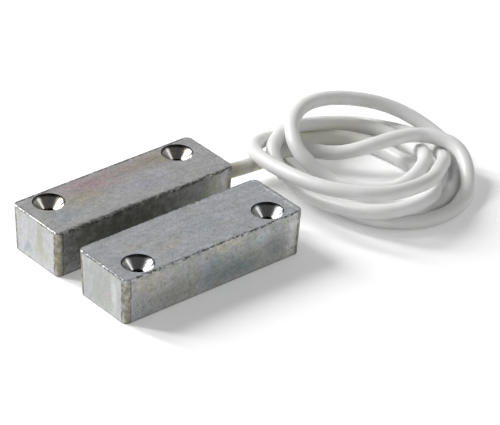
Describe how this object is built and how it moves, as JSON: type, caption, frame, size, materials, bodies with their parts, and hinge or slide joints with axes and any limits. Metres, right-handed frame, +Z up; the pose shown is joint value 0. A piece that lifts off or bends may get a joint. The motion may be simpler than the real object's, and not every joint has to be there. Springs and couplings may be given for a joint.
{
  "type": "armoured magnetic contact",
  "caption": "Surface-mount magnetic alarm contact: a potted cast-metal switch unit with a coiled white cable and a matching magnet unit, each with countersunk fixing holes.",
  "frame": {"origin": "bottom centre of the box round the two housings, on the surface that they lie on", "axes": "+X along the units towards the cable end, +Y from the magnet unit to the switch unit, +Z up out of the mounting surface"},
  "size_m": [0.1206, 0.056, 0.013],
  "materials": {
    "zinc_casting": "die-cast zinc, passivated, mottled grey and scuffed along the edges",
    "epoxy": "poured, level, slightly glossy",
    "reed_glass": "clear, faint green",
    "clear_sleeve": "milky",
    "reed_blade": "plated",
    "copper": "bright copper",
    "core_red": "smooth",
    "core_black": "smooth",
    "core_yellow": "smooth",
    "core_blue": "smooth",
    "solder": "smooth, bright",
    "shrink_sleeve": "satin",
    "cable_jacket": "smooth white, satin gloss",
    "magnet": "ground"
  },
  "bodies": {
    "root": {"switch_housing": "zinc_casting", "switch_potting": "epoxy", "reed_glass": "reed_glass", "reed_sleeve": "clear_sleeve", "reed_blade_cable_end": "reed_blade", "reed_blade_far_end": "reed_blade", "contact_core_a_copper": "copper", "contact_core_a_insulation": "core_red", "contact_core_b_copper": "copper", "contact_core_b_insulation": "core_black", "tamper_core_a_copper": "copper", "tamper_core_a_insulation": "core_yellow", "tamper_core_b_copper": "copper", "tamper_core_b_insulation": "core_blue", "solder_joint_cable_end": "solder", "solder_joint_far_end": "solder", "solder_joint_tamper": "solder", "shrink_sleeve_cable_end": "shrink_sleeve", "shrink_sleeve_far_end": "shrink_sleeve", "shrink_sleeve_tamper": "shrink_sleeve", "cable_lead": "cable_jacket", "cable_coil": "cable_jacket", "magnet_housing": "zinc_casting", "bar_magnet": "magnet", "magnet_potting": "epoxy"}
  },
  "joints": []
}
